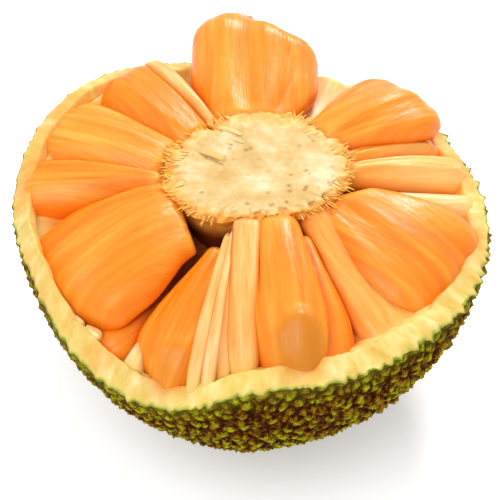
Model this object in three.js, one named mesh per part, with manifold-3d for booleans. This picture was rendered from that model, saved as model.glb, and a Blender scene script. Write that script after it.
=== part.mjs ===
// Half of a ripe jackfruit, cut across its core and pulled open.
//
// A bowl of spiked rind holds a bed of pale rag. Whole orange bulbs stand in the bed like petals round
// the cut core, and thin rag strands lie between them. Millimetres, +Z up. The origin is the middle of
// the small flat spot that the half rests on, and -Y is the side where the cut face dips lowest.

import * as THREE from 'three';
import { ConvexHull } from 'three/addons/math/ConvexHull.js';
import { mergeVertices } from 'three/addons/utils/BufferGeometryUtils.js';
import Module from 'manifold-3d';

const wasm = await Module();
wasm.setup();

// Driving dimensions of the half fruit
const SKIN_RADIUS = 118.5;          // widest radius at the foot of the spikes
const BOTTOM = -2.5;                // height of the bottom, before the flat spot takes it off
const SHOULDER_RISE = 80;           // how steeply the skin closes in above the widest line
const SPIKE_HEIGHT = 3.2;
const SPHERE_SPIKES = 1330;         // spikes on a whole fruit; the half keeps those below the cut
const SPIKE_JITTER = 0.16;          // share of the spacing that a spike may stray
const GAP = 0.35;                   // clearance between neighbouring pieces
const TOP_LIMIT = 230;              // above everything

// Round the fruit, from +X (right) counter-clockwise, one value each 22.5 degrees
const GIRTH_SHARE = [
  0.995, 0.985, 0.98, 0.98, 0.985, 0.995, 1, 1, 0.99, 0.95, 0.962, 0.985, 0.99, 0.985, 0.995, 0.995,
];
const GIRTH_HEIGHT = [99, 98, 98, 99, 100, 103, 105, 106, 106, 97, 90, 85, 80, 85, 94, 102];
const CUT_HEIGHT = [101, 101, 107, 98, 101, 111, 121, 121, 111, 110, 97, 83, 98, 99, 102, 100];
const RIM_THICKNESS = [7.5, 8, 8.5, 9, 9, 9, 9.5, 9.5, 9, 10, 11, 12, 14, 14, 12, 9];
const BASE_THICKNESS = 13;          // the rind at the bottom of the bowl
const BELLY_TAPER = 1.37;           // above 1 the lower half closes in sooner than an ellipse
const CUT_SLOPE = 0.22;             // the cut face falls outward by this share
const WALL_FACETS = { across: 34, rows: 6 };
const BED_SUNK = { core: 34, rim: 6, reach: 110 };    // the bed's top below the core, and below the rim

const CORE_CENTRE = { x: 5, y: 6 };
const CORE_TOP = 124;
const CORE_FOOT = 30;
const CORE_COLLAR = [42, 46, 49, 46, 45, 44, 45, 47, 45, 42, 38, 31, 28, 28, 32, 37];
const CORE_DISC = [35, 33, 31, 28, 27, 28, 31, 34, 34, 33, 31, 28, 27, 27, 30, 33];

const DEGREE = Math.PI / 180;
const TURN = 2 * Math.PI;

// Repeatable random numbers from 0 to 1
function randomSource(seed) {
  let state = seed;
  return () => {
    state = (state + 0x6d2b79f5) | 0;
    let mixed = Math.imul(state ^ (state >>> 15), 1 | state);
    mixed = (mixed + Math.imul(mixed ^ (mixed >>> 7), 61 | mixed)) ^ mixed;
    return ((mixed ^ (mixed >>> 14)) >>> 0) / 4294967296;
  };
}

// Smooth value round the fruit from a table of evenly spaced ones
function around(table, angle) {
  const place = ((((angle / TURN) % 1) + 1) % 1) * table.length;
  const first = Math.floor(place);
  const share = place - first;
  const [a, b, c, d] = [-1, 0, 1, 2].map((k) => table[(first + k + table.length) % table.length]);
  const curve = 2 * b + (c - a) * share + (2 * a - 5 * b + 4 * c - d) * share ** 2;
  return 0.5 * (curve + (3 * b - a - 3 * c + d) * share ** 3);
}

const mix = (a, b, share) => a + (b - a) * share;

function smooth(share) {
  const held = Math.min(1, Math.max(0, share));
  return held * held * (3 - 2 * held);
}

// Solids and cutting

function solidFrom(positions, indices) {
  const raw = new THREE.BufferGeometry();
  raw.setAttribute('position', new THREE.Float32BufferAttribute(positions, 3));
  raw.setIndex(indices);
  const merged = mergeVertices(raw, 1e-4);
  return new wasm.Manifold(new wasm.Mesh({
    numProp: 3,
    vertProperties: new Float32Array(merged.attributes.position.array),
    triVerts: new Uint32Array(merged.index.array),
  }));
}

function geometryFrom(solid) {
  const mesh = solid.getMesh();
  const geometry = new THREE.BufferGeometry();
  geometry.setAttribute('position', new THREE.BufferAttribute(new Float32Array(mesh.vertProperties), 3));
  geometry.setIndex(new THREE.BufferAttribute(new Uint32Array(mesh.triVerts), 1));
  return geometry;
}

// The largest piece of a solid that a cut has split
function largest(solid) {
  return solid.decompose().reduce((best, piece) => (piece.volume() > best.volume() ? piece : best));
}

function cutBy(solid, cutters) {
  return largest(cutters.reduce((left, cutter) => left.subtract(cutter), solid));
}

// Closed skin over rows of points: each row goes round counter-clockwise seen from outside the last
// row, and the first and last points close the two ends.
function lofted(first, rows, last) {
  const across = rows[0].length;
  const points = [first, ...rows.flat(), last];
  const end = points.length - 1;
  const indices = [];
  for (let k = 0; k < across; k += 1) {
    const next = (k + 1) % across;
    indices.push(0, 1 + next, 1 + k);
    for (let row = 0; row + 1 < rows.length; row += 1) {
      const low = 1 + row * across;
      const high = low + across;
      indices.push(low + k, low + next, high + next, low + k, high + next, high + k);
    }
    const top = 1 + (rows.length - 1) * across;
    indices.push(top + k, top + next, end);
  }
  return solidFrom(points.flatMap((p) => [p.x, p.y, p.z]), indices);
}

// The skin of the fruit at an angle round it and an angle up from the bottom, drawn in by a depth
function skinPoint(angle, up, inset = 0) {
  const radius = SKIN_RADIUS * around(GIRTH_SHARE, angle) - inset;
  const girth = around(GIRTH_HEIGHT, angle);
  const depth = (up < Math.PI / 2 ? girth - BOTTOM : SHOULDER_RISE) - inset;
  const out = radius * Math.sin(up) ** (up < Math.PI / 2 ? BELLY_TAPER : 1);
  const height = girth - depth * Math.cos(up);
  return new THREE.Vector3(out * Math.cos(angle), out * Math.sin(angle), height);
}

function cutHeight(angle, radius) {
  return around(CUT_HEIGHT, angle) + CUT_SLOPE * (SKIN_RADIUS - radius);
}

// Rind

// Spike directions: an even spiral over the sphere, each spike strayed a little
function spikeDirections() {
  const random = randomSource(11);
  const spacing = Math.sqrt((2 * TURN) / SPHERE_SPIKES);
  const golden = Math.PI * (3 - Math.sqrt(5));
  const highest = Math.cos(128 * DEGREE);
  const directions = [];
  for (let k = 0; k < SPHERE_SPIKES; k += 1) {
    const down = 1 - (2 * (k + 0.5)) / SPHERE_SPIKES;
    const ring = Math.sqrt(1 - down * down);
    const stray = () => (random() - 0.5) * 2 * SPIKE_JITTER * spacing;
    const spike = new THREE.Vector3(ring * Math.cos(golden * k), ring * Math.sin(golden * k), -down);
    spike.add(new THREE.Vector3(stray(), stray(), stray())).normalize();
    if (-spike.z > highest) directions.push(spike);
  }
  directions.push(new THREE.Vector3(0, 0, 1));
  return directions;
}

function onSkin(direction, raised) {
  const angle = Math.atan2(direction.y, direction.x);
  const up = Math.acos(Math.max(-1, Math.min(1, -direction.z)));
  return skinPoint(angle, up, -raised);
}

// Every spike is a low pyramid over its own cell: its tip joins the middles of the hull faces round it
function spikedSkin() {
  const directions = spikeDirections();
  const random = randomSource(23);
  const hull = new ConvexHull().setFromPoints(directions);
  const tipIndex = new Map(directions.map((direction, index) => [direction, index]));
  const heights = directions.map(() => SPIKE_HEIGHT * (0.78 + 0.44 * random()));
  const points = directions.map((direction, index) => onSkin(direction, heights[index]));
  const valleyIndex = new Map();
  for (const face of hull.faces) {
    const middle = new THREE.Vector3();
    let edge = face.edge;
    do {
      middle.add(edge.head().point);
      edge = edge.next;
    } while (edge !== face.edge);
    valleyIndex.set(face, points.length);
    points.push(onSkin(middle.normalize(), 0));
  }
  const indices = [];
  for (const face of hull.faces) {
    let edge = face.edge;
    do {
      const tip = tipIndex.get(edge.tail().point);
      indices.push(tip, valleyIndex.get(edge.twin.face), valleyIndex.get(face));
      edge = edge.next;
    } while (edge !== face.edge);
  }
  return solidFrom(points.flatMap((p) => [p.x, p.y, p.z]), indices);
}

function ringOf(across, pointAt) {
  return Array.from({ length: across }, (_, k) => pointAt((k / across) * TURN));
}

// The hollow of the bowl, standing taller than the rind, drawn in from it by a clearance
function hollow(clearance, tallest) {
  const rings = [];
  for (let row = 1; row <= WALL_FACETS.rows; row += 1) {
    const share = row / WALL_FACETS.rows;
    const thickness = (angle) => mix(BASE_THICKNESS, around(RIM_THICKNESS, angle), share);
    const wallPoint = (angle) => skinPoint(angle, share * 90 * DEGREE, thickness(angle) + clearance);
    rings.push(ringOf(WALL_FACETS.across, wallPoint));
  }
  const topRing = rings[rings.length - 1].map((p) => new THREE.Vector3(p.x, p.y, tallest));
  rings.push(topRing);
  const bottom = new THREE.Vector3(0, 0, BOTTOM + BASE_THICKNESS + clearance);
  return lofted(bottom, rings, new THREE.Vector3(0, 0, tallest));
}

// Everything above a height that changes round and across the fruit
function above(heightAt, across, radii) {
  const at = (angle, radius, z) => new THREE.Vector3(radius * Math.cos(angle), radius * Math.sin(angle), z);
  const rings = radii.map((radius) => ringOf(across, (angle) => at(angle, radius, heightAt(angle, radius))));
  const outer = radii[radii.length - 1];
  rings.push(ringOf(across, (angle) => at(angle, outer, TOP_LIMIT)));
  const middle = new THREE.Vector3(0, 0, heightAt(0, 0));
  return lofted(middle, rings, new THREE.Vector3(0, 0, TOP_LIMIT));
}

function restingPlane() {
  const slab = new THREE.BoxGeometry(400, 400, 60).translate(0, 0, -30);
  slab.deleteAttribute('normal');
  slab.deleteAttribute('uv');
  const merged = mergeVertices(slab);
  return solidFrom(Array.from(merged.attributes.position.array), Array.from(merged.index.array));
}

function rind() {
  const face = above(cutHeight, 72, [60, 100, 112, 135]);
  return cutBy(spikedSkin(), [restingPlane(), hollow(0, TOP_LIMIT), face]);
}

// Core

function core(grow) {
  const lobe = (angle) => 5 * Math.exp(-(((angle / DEGREE - 90) / 26) ** 2));
  const levels = [
    { share: 0.5, z: CORE_FOOT - grow },
    { share: 0.62, z: 62 },
    { share: 0.8, z: 90 },
    { share: 0.94, z: 106 },
    { share: 1, z: 113 },
    { share: 1, z: CORE_TOP - 6 + grow, lobe: 0.8 },
    { share: 1, disc: 0.7, z: CORE_TOP - 2.5 + grow, lobe: 1 },
    { share: 1, disc: 1, z: CORE_TOP + grow, lobe: 0.3 },
    { share: 0.4, disc: 1, z: CORE_TOP - 0.8 + grow },
  ];
  const rings = levels.map((level) => ringOf(26, (angle) => {
    const outline = mix(around(CORE_COLLAR, angle), around(CORE_DISC, angle), level.disc ?? 0);
    const radius = outline * level.share + grow;
    const z = level.z + (level.lobe ?? 0) * lobe(angle);
    const x = CORE_CENTRE.x + radius * Math.cos(angle);
    return new THREE.Vector3(x, CORE_CENTRE.y + radius * Math.sin(angle), z);
  }));
  const foot = new THREE.Vector3(CORE_CENTRE.x, CORE_CENTRE.y, CORE_FOOT - grow);
  const top = new THREE.Vector3(CORE_CENTRE.x, CORE_CENTRE.y, CORE_TOP - 1.2 + grow);
  return lofted(foot, rings, top);
}

// Bulbs and strands

// Each lies from the core (inner) to the rind (outer). The three numbers of an end are its angle round
// the fruit, its distance from the axis and the height of its top. width and thick are half sizes;
// neck is the inner end's share of the width, and skew leans an end along the piece on one side.
const BULBS = [
  { name: 'bulb_back', inner: [88, 45, 126], outer: [88.5, 119, 142], width: 34, thick: 18, neck: 0.6,
    swell: 0.5, arch: -2, skewOut: -9, folds: 1.1 },
  { name: 'bulb_back_left', inner: [122, 46, 121], outer: [127, 112, 121], width: 24, thick: 16, neck: 0.5,
    arch: 4, roll: 6, skewOut: 4, folds: 0.5 },
  { name: 'bulb_left_upper', inner: [148, 45, 120], outer: [153.5, 117, 117], width: 22, thick: 16,
    neck: 0.6, arch: 5, roll: -4, folds: 0.5 },
  { name: 'bulb_left', inner: [167, 42, 118], outer: [172.5, 114, 112], width: 16, thick: 16, neck: 0.4,
    arch: 3, folds: 0.9 },
  { name: 'bulb_left_lower', inner: [-168, 34, 119], outer: [-151.5, 108, 103], width: 36, thick: 17,
    neck: 0.7, swell: 0.6, arch: 7, skewIn: -7, skewOut: 4, roll: 4, folds: 0.9 },
  { name: 'bulb_front_left', inner: [-113, 34, 113], outer: [-113, 109, 92], width: 17, thick: 17,
    neck: 0.35, arch: 5, roll: -6, skewOut: -5, folds: 0.7 },
  { name: 'bulb_front', inner: [-55, 22, 120], outer: [-80, 104, 99], width: 15.5, thick: 16, neck: 0.55,
    arch: 6, folds: 0.5, seed: 1 },
  { name: 'bulb_front_right', inner: [-43, 38, 108], outer: [-68, 104, 95], width: 14, thick: 14,
    neck: 0.4, arch: 3, folds: 0.5 },
  { name: 'bulb_right_lower', inner: [0, 44, 118], outer: [-25, 113, 105], width: 36, thick: 17,
    neck: 0.55, swell: 0.65, arch: 6, skewIn: -8, skewOut: 2, folds: 1.2 },
  { name: 'bulb_right_strap', inner: [20, 49, 118], outer: [16.5, 115, 105], width: 9.5, thick: 13,
    neck: 0.5, arch: 4, folds: 0.6 },
  { name: 'bulb_right', inner: [28, 50, 119], outer: [26, 112, 107], width: 9.5, thick: 14,
    neck: 0.5, arch: 4, folds: 0.5 },
  { name: 'bulb_back_right', inner: [48, 50, 122], outer: [39.5, 113, 126], width: 27, thick: 15,
    neck: 0.55, arch: 5, roll: -4, skewOut: 4, folds: 1.1 },
  { name: 'bulb_lower_tip', inner: [-127, 60, 88], outer: [-123, 104, 96], width: 12, thick: 12,
    neck: 0.6, arch: 1, folds: 0.3 },
];

const STRANDS = [
  { name: 'rag_back_left', inner: [110, 49, 121], outer: [119, 110, 119], width: 4, thick: 9, neck: 0.5,
    arch: 5 },
  { name: 'rag_front_left', inner: [-109, 42, 112], outer: [-103.5, 112, 93], width: 3, thick: 9, neck: 0.4,
    arch: 4 },
  { name: 'rag_front_slim', inner: [-104.5, 42, 112], outer: [-100, 111, 93], width: 2.8, thick: 9,
    neck: 0.4, arch: 4 },
  { name: 'rag_front_middle', inner: [-100, 38, 114], outer: [-96.3, 102, 95], width: 4, thick: 11,
    neck: 0.5, arch: 3 },
  { name: 'rag_front', inner: [-93, 26, 119], outer: [-89.5, 101, 97], width: 7, thick: 12, neck: 0.8,
    arch: 4 },
  { name: 'rag_right_front', inner: [-18, 32, 119], outer: [-48.5, 107, 100], width: 15, thick: 13,
    neck: 0.4, arch: 0 },
];

const BULB_DEFAULTS = { roll: 0, swell: 0.78, skewIn: 0, skewOut: 0, folds: 0, seed: 0 };

function endPoint([degrees, radius, top]) {
  return new THREE.Vector3(radius * Math.cos(degrees * DEGREE), radius * Math.sin(degrees * DEGREE), top);
}

// How wide a bulb is along its length, from the neck at 0 to the round outer end at 1
function widthShare(along, { neck, swell }) {
  const innerEnd = Math.min(1, along / 0.09);
  const outerEnd = Math.max(0, (along - 0.72) / 0.28);
  const ends = Math.sqrt(1 - (1 - innerEnd) ** 2.4) * (1 - outerEnd ** 2.6) ** (1 / 2.3);
  return { wide: mix(neck, 1, smooth(along / swell)) * ends, deep: (0.7 + 0.3 * smooth(along / 0.6)) * ends };
}

function bulb(row, grow, across, rows) {
  const piece = { ...BULB_DEFAULTS, ...row };
  const inner = endPoint(piece.inner);
  const outer = endPoint(piece.outer);
  const length = inner.distanceTo(outer);
  const forward = outer.clone().sub(inner).normalize();
  const level = new THREE.Vector3().crossVectors(forward, new THREE.Vector3(0, 0, 1)).normalize();
  const side = level.clone().applyAxisAngle(forward, piece.roll * DEGREE);
  const upward = new THREE.Vector3().crossVectors(side, forward);
  const bend = (along) => 4 * along * (1 - along) * piece.arch;

  // The middle of the section at a share of the length
  const middle = (along) => {
    const deep = piece.thick * (0.7 + 0.3 * smooth(along / 0.6));
    return inner.clone().addScaledVector(forward, along * length).addScaledVector(upward, bend(along) - deep);
  };
  const sectionPoint = (along, turn) => {
    const share = widthShare(along, piece);
    const wide = share.wide * piece.width;
    const deep = share.deep * piece.thick;
    const [c, s] = [Math.cos(turn), Math.sin(turn)];
    const across01 = Math.sign(c) * Math.abs(c) ** 0.8;
    const height01 = Math.sign(s) * Math.abs(s) ** 0.85;
    const wedge = s < 0 ? 1 - 0.35 * -height01 : 1;
    const fold = piece.folds * Math.cos(across01 * 7.5 + piece.arch) * Math.max(0, s) * smooth(along / 0.2);
    const knob = piece.seed * 3 * Math.exp(-(((along - 0.84) / 0.1) ** 2)) * Math.max(0, s);
    const x = across01 * wedge * (wide + grow);
    const z = height01 * (deep + grow) + fold + knob;
    const lean = mix(piece.skewIn, piece.skewOut, along) * across01 + mix(-grow, grow, along);
    return middle(along).addScaledVector(side, x).addScaledVector(upward, z).addScaledVector(forward, lean);
  };
  const rings = [];
  for (let step = 1; step < rows; step += 1) {
    const along = 0.5 - 0.5 * Math.cos((step / rows) * Math.PI);
    rings.push(ringOf(across, (turn) => sectionPoint(along, -turn)));
  }
  const tip = (along, out) => middle(along).addScaledVector(forward, out * grow);
  return lofted(tip(0, -1), rings, tip(1, 1));
}

// Rag bed

function bedTop(angle, radius) {
  const beside = CORE_TOP - BED_SUNK.core;
  const rim = around(CUT_HEIGHT, angle) - BED_SUNK.rim;
  return mix(beside, rim, Math.min(1, radius / BED_SUNK.reach) ** 1.5);
}

function ragBed() {
  return hollow(GAP, TOP_LIMIT - 5).subtract(above(bedTop, 32, [50, 85, 130]));
}

// The half fruit

const FINISH = {
  rind: { color: '#6f7d2c', roughness: 0.7 },
  rag: { color: '#f3d98a', roughness: 0.6 },
  core: { color: '#f1dfb0', roughness: 0.65 },
  bulb: { color: '#f89a2c', roughness: 0.35 },
};

function shown(name, solid, finish) {
  const material = new THREE.MeshStandardMaterial({ ...finish, metalness: 0 });
  const mesh = new THREE.Mesh(geometryFrom(solid), material);
  mesh.name = name;
  return mesh;
}

function halfFruit() {
  const fruit = new THREE.Group();
  const cutters = [core(GAP)];
  fruit.add(shown('core', core(0), FINISH.core));
  // Each piece gives way to the ones before it
  const place = (row, across, rings, finish) => {
    fruit.add(shown(row.name, cutBy(bulb(row, 0, across, rings), cutters), finish));
    cutters.push(bulb(row, GAP, across, rings));
  };
  BULBS.forEach((row) => place(row, 14, 8, FINISH.bulb));
  STRANDS.forEach((row) => place(row, 8, 7, FINISH.rag));
  fruit.add(shown('rind', cutBy(rind(), cutters), FINISH.rind));
  fruit.add(shown('rag_bed', cutBy(ragBed(), cutters), FINISH.rag));
  return fruit;
}

export default halfFruit();
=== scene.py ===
# Looks of the opened half jackfruit, built round its solids: lengths in the tables are millimetres.

import math

import bpy
import numpy as np
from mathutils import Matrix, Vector
from mathutils.bvhtree import BVHTree
from mathutils.kdtree import KDTree


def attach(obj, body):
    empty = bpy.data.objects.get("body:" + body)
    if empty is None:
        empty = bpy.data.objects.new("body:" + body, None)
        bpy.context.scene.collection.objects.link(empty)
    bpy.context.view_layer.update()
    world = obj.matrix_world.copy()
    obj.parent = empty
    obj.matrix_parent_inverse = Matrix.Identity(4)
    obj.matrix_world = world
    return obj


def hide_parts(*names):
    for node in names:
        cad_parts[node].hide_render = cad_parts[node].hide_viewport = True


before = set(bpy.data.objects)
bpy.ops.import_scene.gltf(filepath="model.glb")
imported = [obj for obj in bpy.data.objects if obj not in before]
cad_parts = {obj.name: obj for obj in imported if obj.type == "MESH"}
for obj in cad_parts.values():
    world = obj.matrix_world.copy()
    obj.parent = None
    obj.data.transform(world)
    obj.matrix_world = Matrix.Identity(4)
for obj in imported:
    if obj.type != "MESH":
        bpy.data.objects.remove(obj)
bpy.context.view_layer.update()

MM = 0.001
TURN = 2 * math.pi
BODY = "root"
SEEDS = {"lattice": 5, "spikes": 11, "frill": 23, "pleats": 100}

# Driving dimensions of the half fruit, as in its solids. Each table goes round it from the right,
# counter-clockwise as seen from above.
SKIN_RADIUS = 118.5
BOTTOM = -2.5
SHOULDER_RISE = 80.0
BELLY_TAPER = 1.37
CUT_SLOPE = 0.22
BASE_THICKNESS = 13.0
GIRTH_SHARE = [
    0.995, 0.985, 0.98, 0.98, 0.985, 0.995, 1, 1, 0.99, 0.95, 0.962, 0.985, 0.99, 0.985, 0.995, 0.995,
]
GIRTH_HEIGHT = [99, 98, 98, 99, 100, 103, 105, 106, 106, 97, 90, 85, 80, 85, 94, 102]
CUT_HEIGHT = [101, 101, 107, 98, 101, 111, 121, 121, 111, 110, 97, 83, 98, 99, 102, 100]
RIM_THICKNESS = [7.5, 8, 8.5, 9, 9, 9, 9.5, 9.5, 9, 10, 11, 12, 14, 14, 12, 9]
CORE_CENTRE = (5.0, 6.0)
CORE_TOP = 124.0
CORE_FOOT = 30.0
CORE_COLLAR = [42, 46, 49, 46, 45, 44, 45, 47, 45, 42, 38, 31, 28, 28, 32, 37]
BED_SUNK = {"core": 34.0, "rim": 6.0, "reach": 110.0}

# The core: its disc is wider than the solid's nearly all round. The lobe's middle and spread are degrees.
CORE_DISC = [37, 37, 36, 34, 33, 34, 36, 38, 38, 36, 33, 28, 26.5, 26.5, 30, 34]
DISC_SINK = 1.2
LOBE = {"middle": 90.0, "spread": 26.0, "height": 5.0}

# The cut face: how far it reaches in over the hollow, how far its outer edge rolls down, how far its middle
# stands up and how far its inner edge falls
RIM_LIP = [4, 4, 4, 4, 4, 4, 4, 3.5, 1.5, -2.5, -1.5, 3.5, 4, 4, 4, 4]
COMMON_LIP = 4.0
RIM_ROLL = [0, 0, 0, 0, 0, 0, 0, 1, 5, 13, 15, 1.5, 0, 0, 0, 0]
RIM_CROWN = 1.2
RIM_FALL = 5.0

# The bed: its gap to the rind, how far it stays below the cut, how much lower it goes for each millimetre
# that the lip is shorter, how it keeps clear of the bulbs, and the radius at which its texture goes round
BED_GAP = 0.4
BED_LIP = 3.5
BED_DIP = 2.0
BED_CLEARANCE = 0.5
BED_FLOOR = 20.0
SINK_DEPTH = 1.5
BED_ARC_RADIUS = 80.0

# The hollow's wall is a little thicker than the rim, and pieces stay inside the skin by a margin
WALL_EXTRA = 1.0
SKIN_MARGIN = 3.2

# The frill round the disc, left open at the front where bulbs and strands reach the disc: the gap's middle
# and half width, and how far round the fringe rises with the lobe, are degrees
FRILL_FIBRES = 700
FRILL_GAP = {"middle": 268.0, "half": 36.0}
FRINGE_SPREAD = 28.0
# Larger torn flaps: where each starts and ends, its half width and how far it arches up
TORN_FLAPS = [
    ((137, 40, 121.5), (129, 16, 124.8), 2.8, 1.6),
    ((139, 36, 122), (126, 24, 123.6), 1.4, 0.8),
    ((105, 53, 122.5), (98, 41, 125.2), 1.4, 1.0),
    ((108, 49, 122.5), (96, 37, 124.8), 1.6, 1.0),
    ((113, 47, 122), (93, 32, 124.6), 1.9, 1.4),
    ((117, 43, 121.5), (91, 27, 123.9), 1.7, 1.2),
    ((124, 41, 122), (104, 27, 123.6), 1.0, 0.9),
]

# The finer spikes of the visible skin; the last number sets how steeply they lean out
SPHERE_SPIKES = 4700
SPIKE_HEIGHT = [2.8, 2.6, 2.2, 1.4, 1.2, 1.2, 1.2, 1.2, 1.4, 1.6, 1.8, 2.2, 2.8, 2.8, 2.8, 2.8]
SPIKE_JITTER = 0.42
SPIKE_LEAN = 95.0

# Seeds that show through: how far one swells the skin, and its half width across and along the bulb
SEED_SWELL = 4.2
SEED_SIZE = (13.0, 15.0)

# Columns round and rows along each kind of mesh
SKIN_COLUMNS = 740
SKIN_ROWS = 104
RIM_ROWS = 22
HOLLOW_ROWS = 8
BED_GRID = (420, 70)
CORE_GRID = (260, 90)
BULB_GRID = (110, 96)
STRAND_GRID = (40, 80)
STRIP_GRID = (8, 7)

# Texture places are in centimetres, and each piece has a layer of the noise to itself
GRAIN_SCALE = 0.1
GRAIN_LAYER = 9.0
FIRST_STRAND = 20
FIRST_EXTRA = 30

# How far the painted contact shade and the tints reach where pieces lie against each other, and how far apart
# they are looked for
CONTACT_SHADE_REACH = 2.0
RIND_TINT_REACH = 5.0
BED_TINT_REACH = 7.0
EDGE_TINT_REACH = 4.0
BOX_MARGIN = 6.0
FAR = 99.0

# Bulbs and strands: the ends are degrees round, distance out and height of the top; pale runs from 0
# to 1.5; a seed is its strength and its middle across and along the bulb
BULBS = [
    dict(name="bulb_back", inner=(88, 45, 126), outer=(88.5, 119, 142), width=34, thick=18, neck=0.6,
         swell=0.5, arch=-2, skew_out=-9, folds=1.1, pale=0.35),
    dict(name="bulb_back_left", inner=(122, 46, 121), outer=(127, 114, 124), width=24, thick=16, neck=0.5,
         arch=4, roll=6, skew_out=4, folds=0.5, blunt=0.78, pale=0.1),
    dict(name="bulb_left_upper", inner=(148, 45, 120), outer=(153.5, 119, 121), width=23, thick=16, neck=0.6,
         arch=5, roll=-4, folds=0.5, blunt=0.82, pale=0.85),
    dict(name="bulb_left", inner=(167, 42, 118), outer=(172.5, 117, 115), width=18, thick=16, neck=0.4,
         arch=3, folds=0.9, blunt=0.84, pale=0.45),
    dict(name="bulb_left_lower", inner=(-168, 34, 119), outer=(-151.5, 111, 103), width=37, thick=17,
         neck=0.7, swell=0.6, arch=7, skew_in=-7, skew_out=4, roll=4, folds=0.9, pale=0.15),
    dict(name="bulb_front_left", inner=(-113, 34, 113), outer=(-114.3, 109, 92), width=19, thick=17,
         neck=0.35, arch=5, roll=-6, skew_out=-5, folds=0.7, seed=(0.55, -9, 68), pale=0.2),
    dict(name="bulb_front", inner=(-55, 22, 123.5), outer=(-78.3, 112, 104), width=20, thick=17, neck=0.55,
         arch=7, folds=0.4, seed=(1, -3, 77), blunt=0.58, tip=1.9, pale=0.45),
    dict(name="bulb_front_right", inner=(-47, 35, 116), outer=(-68.5, 110, 100), width=14, thick=14, neck=0.4,
         arch=5, folds=0.4, blunt=0.6, tip=2, pale=0.25),
    dict(name="bulb_right_lower", inner=(0, 44, 118), outer=(-25, 113, 105), width=36, thick=17, neck=0.55,
         swell=0.65, arch=6, skew_in=-8, skew_out=2, folds=1.2, pale=0.25),
    dict(name="bulb_right_strap", inner=(20, 49, 118), outer=(15.5, 116, 106), width=11, thick=13, neck=0.5,
         arch=4, folds=0.9, blunt=0.85, pale=1.5),
    dict(name="bulb_right", inner=(28, 50, 119), outer=(26, 112, 107), width=9.5, thick=14, neck=0.5,
         arch=4, folds=0.5, pale=0.9),
    dict(name="bulb_back_right", inner=(48, 50, 122), outer=(39.5, 113, 126), width=27, thick=15, neck=0.55,
         arch=5, roll=-4, skew_out=4, folds=1.1, pale=0.55),
    dict(name="bulb_lower_tip", inner=(-131, 62, 90), outer=(-130.5, 106, 97), width=10, thick=12, neck=0.6,
         arch=1, folds=0.3, pale=0.1),
]
STRANDS = [
    dict(name="rag_back_left", inner=(110, 49, 121), outer=(119.5, 113, 125), width=5, thick=9, neck=0.5,
         arch=5, square=0.6, pale=0.5),
    dict(name="rag_front_left", inner=(-110, 28, 118), outer=(-104.3, 113, 92), width=4.3, thick=11, neck=0.5,
         arch=5, square=0.5, pale=0.5),
    dict(name="rag_front_slim", inner=(-105, 26, 120), outer=(-100.9, 113, 92), width=3.9, thick=12, neck=0.5,
         arch=5, square=0.5, pale=0.8),
    dict(name="rag_front_middle", inner=(-101, 24, 122), outer=(-97.5, 104, 95), width=5.4, thick=12,
         neck=0.6, arch=4, square=0.45, trough=0.8, pale=0.45),
    dict(name="rag_front", inner=(-93, 22, 124), outer=(-91.8, 104, 99), width=8.2, thick=12, neck=0.85,
         arch=4, square=0.45, folds=0.5, pale=0.3),
    dict(name="rag_right_front", inner=(-20, 31, 122), outer=(-47.5, 113, 99), width=17, thick=13, neck=0.5,
         arch=1, trough=2.5, blunt=0.9, pale=0.12),
]
# Pale rag seen between the pieces that the solids leave inside the bed
EXTRA_RAG = [
    dict(name="rag_back_wall", inner=(68, 50, 115), outer=(66, 111, 111), width=14, thick=14, neck=0.5,
         arch=-5, blunt=0.9, pale=1),
    dict(name="rag_back_left_wall", inner=(101, 50, 114), outer=(104, 112, 115), width=8, thick=12, neck=0.6,
         arch=-3, blunt=0.9, pale=0.9),
    dict(name="rag_right_wall", inner=(6, 52, 112), outer=(4, 115, 104), width=8, thick=12, neck=0.5,
         arch=0, blunt=0.9, pale=0.9),
    dict(name="rag_lower_left", inner=(-124, 60, 100), outer=(-122, 107, 91), width=5.5, thick=9, neck=0.5,
         arch=1, blunt=0.9, pale=1),
    dict(name="rag_torn_lower", inner=(-137, 105.5, 98.5), outer=(-132, 103.5, 98), width=2.2, thick=3.5,
         neck=0.7, arch=0.6, square=0.6, pale=1),
    dict(name="rag_torn_left", inner=(-142.5, 106.5, 99), outer=(-137.5, 106, 98.5), width=2.4, thick=3.5,
         neck=0.7, arch=0.6, square=0.6, pale=1),
]
PIECE_DEFAULTS = dict(
    roll=0, swell=0.78, skew_in=0, skew_out=0, folds=0, seed=(0, 0, 0), trough=0, blunt=0.72, tip=2.6,
    square=0.83,
)

# The photograph's view: looking along +Y and down, in millimetres and degrees
VIEW = {"target": (0, 0, 76.5), "elevation": 45.0, "distance": 800.0, "lens": 112.9, "sensor": 36.0}

# Lights: name, place and size in metres, and power in watts
LIGHTS = [
    ("key", (-0.5, -0.7, 1.3), 1.1, 10),
    ("gloss", (0.35, 0.95, 0.95), 0.3, 11),
]
LIGHT_AIM = (0, 0, 0.09)
WORLD_STRENGTH = 0.7
FLOOR_SIZE = 8
FLOOR_GLOW = 0.3


# Numbers round the fruit and smooth noise

def around(table, angle):
    """Smooth value round the fruit from a table of evenly spaced ones."""
    values = np.asarray(table, float)
    place = np.mod(np.asarray(angle, float) / TURN, 1) * len(values)
    first = np.floor(place).astype(int)
    t = place - first
    a, b, c, d = (values[(first + k) % len(values)] for k in (-1, 0, 1, 2))
    square = (2 * a - 5 * b + 4 * c - d) * t ** 2
    cube = (3 * b - a - 3 * c + d) * t ** 3
    return 0.5 * (2 * b + (c - a) * t + square + cube)


def mix(a, b, share):
    return a + (b - a) * share


def smooth(share):
    held = np.clip(share, 0, 1)
    return held * held * (3 - 2 * held)


LATTICE = np.random.default_rng(SEEDS["lattice"]).uniform(-1, 1, (64, 256))


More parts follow.
